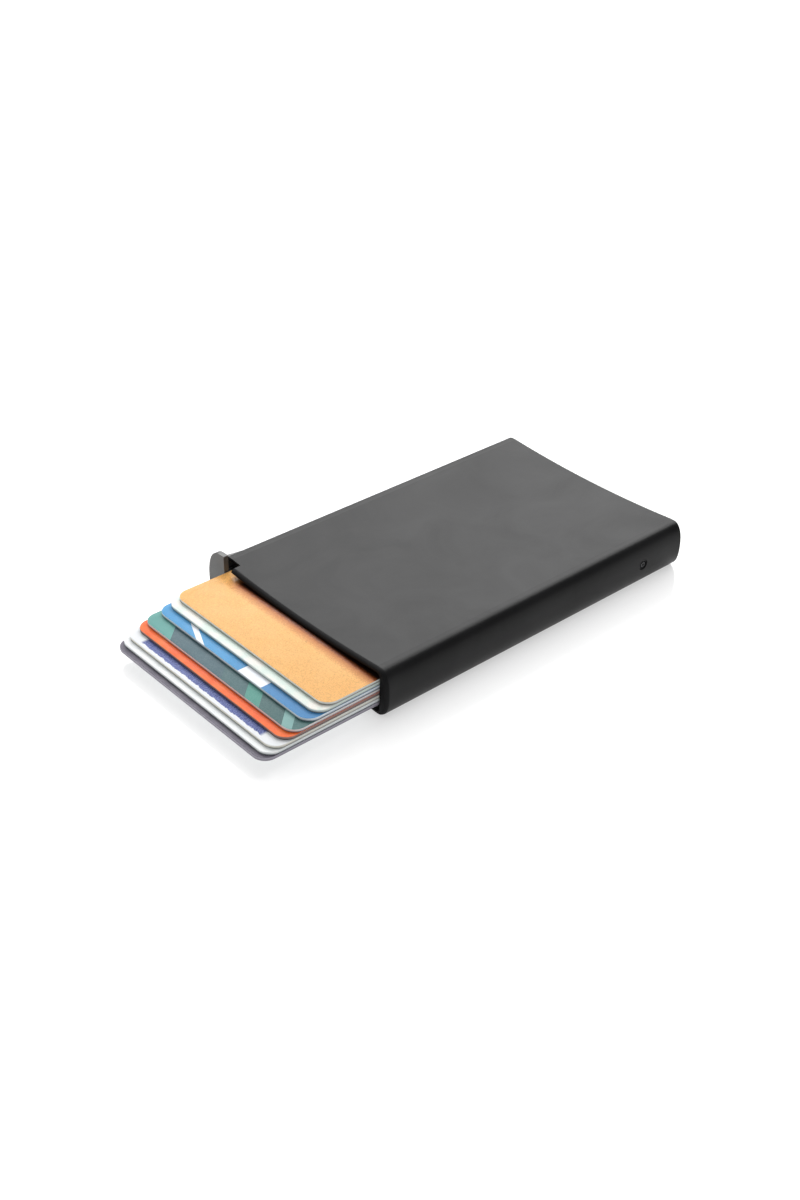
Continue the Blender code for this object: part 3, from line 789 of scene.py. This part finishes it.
def make_pads():
    """Felt strips on the sleeve's floor: crowned, round-ended and slightly matted."""
    finish = felt("grip_felt", (0.012, 0.012, 0.013), (0.06, 0.06, 0.065))
    for node, name in (("grip_pad_left", "felt_strip_left"),
                       ("grip_pad_right", "felt_strip_right")):
        low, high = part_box(node)
        centre = (low + high) / 2
        half = (high - low) / 2
        rings = []
        # How far each row is drawn in, and its height, as shares of the half thickness
        rows = [(0.30, -1.0), (0.10, -0.9), (0.0, -0.6), (0.0, 0.1), (0.05, 0.6),
                (0.16, 0.85), (0.34, 0.97), (0.60, 1.0)]
        for inset, height in rows:
            draw = inset * half.z
            ring = []
            for i in range(PAD_STEPS):
                angle = 2 * pi * i / PAD_STEPS
                along = PAD_SQUARE_ENDS * sin(angle)
                at_end = abs(along) >= 1
                across = PAD_END_WIDEN * cos(angle) if at_end else 1 if cos(angle) > 0 else -1
                along, across = max(-1, min(1, along)), max(-1, min(1, across))
                lump = noise.noise(Vector((7 * along, 3 * across, inset)))
                mat = 1 - PAD_MATTING * abs(lump)
                ring.append((across * (half.x - draw) * mat, along * (half.y - draw) * mat,
                             height * half.z))
            rings.append(ring)
        pad = lofted(name, rings, centre)
        smooth(pad)
        finish_with(pad, finish)
        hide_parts(node)
        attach(pad, "case")


def dress_nodes():
    """Ease the edges of the carried-over pieces and give each its own finish."""
    plastic = moulded("black_moulding", (0.006, 0.006, 0.0065), (0.020, 0.020, 0.022))
    acetal = moulded("grey_moulding", (0.10, 0.10, 0.105), (0.24, 0.24, 0.25), 0.42)
    flat_steel = steel("drawn_steel", (0.52, 0.52, 0.54), 0.30, {"y": 0.03})
    pin_steel = steel("turned_steel", (0.56, 0.56, 0.58), 0.24, {"z": 0.05})
    for name, finish, ease in (("base_insert", plastic, 0.00012),
                               ("rail_guide", plastic, 0.00008),
                               ("eject_lever", acetal, 0.00006),
                               ("slider_rail", flat_steel, 0.00010),
                               ("tab_pin", pin_steel, 0.00008),
                               ("pivot_pin", pin_steel, 0.00008)):
        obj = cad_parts[name]
        finish_with(obj, finish)
        soften(obj, ease)


# ---------------------------------------------------------------- studio

def make_floor():
    """A wide glossy white sheet."""
    half = FLOOR_SIZE / 2
    mesh = bpy.data.meshes.new("floor")
    mesh.from_pydata([(-half, -half, 0), (half, -half, 0), (half, half, 0), (-half, half, 0)],
                     [], [(0, 1, 2, 3)])
    floor = link("floor", mesh, (0, 0, -FLOOR_DROP))
    made = Finish("white_acrylic", roughness=0.12, specular=0.5, emission_strength=0.54)
    made.set("Base Color", made.blend(made.noise(20), (0.45, 0.45, 0.45), (0.46, 0.46, 0.46)))
    made.set("Emission Color", (1.0, 1.0, 1.0))
    finish_with(floor, made)


def make_light(name, place, width, height, power):
    """A soft box that faces the object."""
    light = bpy.data.lights.new(name, "AREA")
    light.shape = "RECTANGLE"
    light.size, light.size_y = width, height
    light.energy = power
    obj = bpy.data.objects.new(name, light)
    obj.location = place
    obj.rotation_euler = (-Vector(place)).to_track_quat("-Z", "Y").to_euler()
    bpy.context.scene.collection.objects.link(obj)


def make_world():
    """An even white surround."""
    world = bpy.data.worlds.new("studio")
    world.use_nodes = True
    surround = world.node_tree.nodes["Background"]
    surround.inputs["Color"].default_value = (1, 1, 1, 1)
    surround.inputs["Strength"].default_value = WORLD_LIGHT
    bpy.context.scene.world = world


def make_camera():
    """Looks down across the mouth's right corner."""
    az, el, roll = CAMERA_AZIMUTH, CAMERA_ELEVATION, CAMERA_ROLL
    back = Vector((sin(az) * cos(el), -cos(az) * cos(el), sin(el)))
    right = Vector((cos(az), sin(az), 0))
    up = back.cross(right)
    level, upright = (right * cos(roll) + up * sin(roll), up * cos(roll) - right * sin(roll))
    data = bpy.data.cameras.new("camera")
    data.lens = CAMERA_LENS
    data.sensor_width = CAMERA_SENSOR
    data.clip_start, data.clip_end = 0.01, 50
    camera = bpy.data.objects.new("camera", data)
    turn = Matrix((level, upright, back)).transposed().to_4x4()
    camera.matrix_world = Matrix.Translation(CAMERA_TARGET + back * CAMERA_DISTANCE) @ turn
    bpy.context.scene.collection.objects.link(camera)
    bpy.context.scene.camera = camera


make_camera()
make_world()
make_floor()
for name, place, width, height, power in SOFT_BOXES:
    make_light(name, place, width, height, power)
bpy.context.scene.view_settings.view_transform = "Standard"

make_sleeve()
make_rivets()
make_tab()
make_cards()
make_pads()
dress_nodes()
